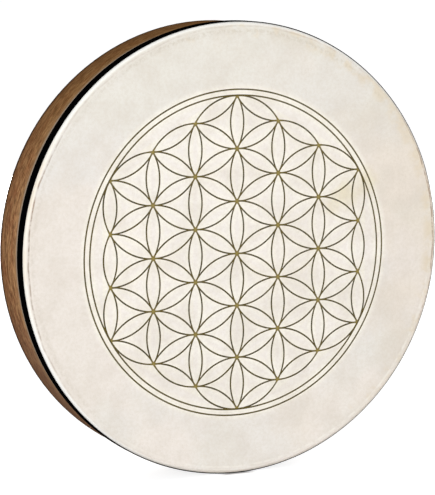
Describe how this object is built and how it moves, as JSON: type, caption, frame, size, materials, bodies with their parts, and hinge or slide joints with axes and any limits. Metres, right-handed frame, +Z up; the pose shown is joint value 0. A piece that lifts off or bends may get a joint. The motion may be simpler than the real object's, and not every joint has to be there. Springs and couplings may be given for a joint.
{
  "type": "shaman drum",
  "caption": "Round frame drum for the hand: a printed skin glued over a bent wooden shell, with a black edge band and a turned wooden grip bar across the open back.",
  "frame": {"origin": "on the drum's axis at half its depth, the centre of the overall box", "axes": "+Z up as the drum stands on its rim, +Y along the drum's axis from the head to the open back, +X to the right seen from the head"},
  "size_m": [0.5036, 0.0778, 0.5035],
  "materials": {
    "stained_wood": "brown stain under satin lacquer",
    "core_wood": "bare wood, seen only on its edge",
    "grip_wood": "oiled",
    "skin": "bleached hide, scraped, with a printed line pattern",
    "band": "black woven tape",
    "screw_steel": "bright zinc"
  },
  "bodies": {
    "root": {"shell_outer_hoop": "stained_wood", "shell_middle_hoop": "core_wood", "shell_inner_hoop": "stained_wood", "drum_head": "skin", "edge_band": "band", "grip_bar": "grip_wood", "upper_block": "grip_wood", "lower_block": "grip_wood", "grip_screws": "screw_steel"}
  },
  "joints": []
}
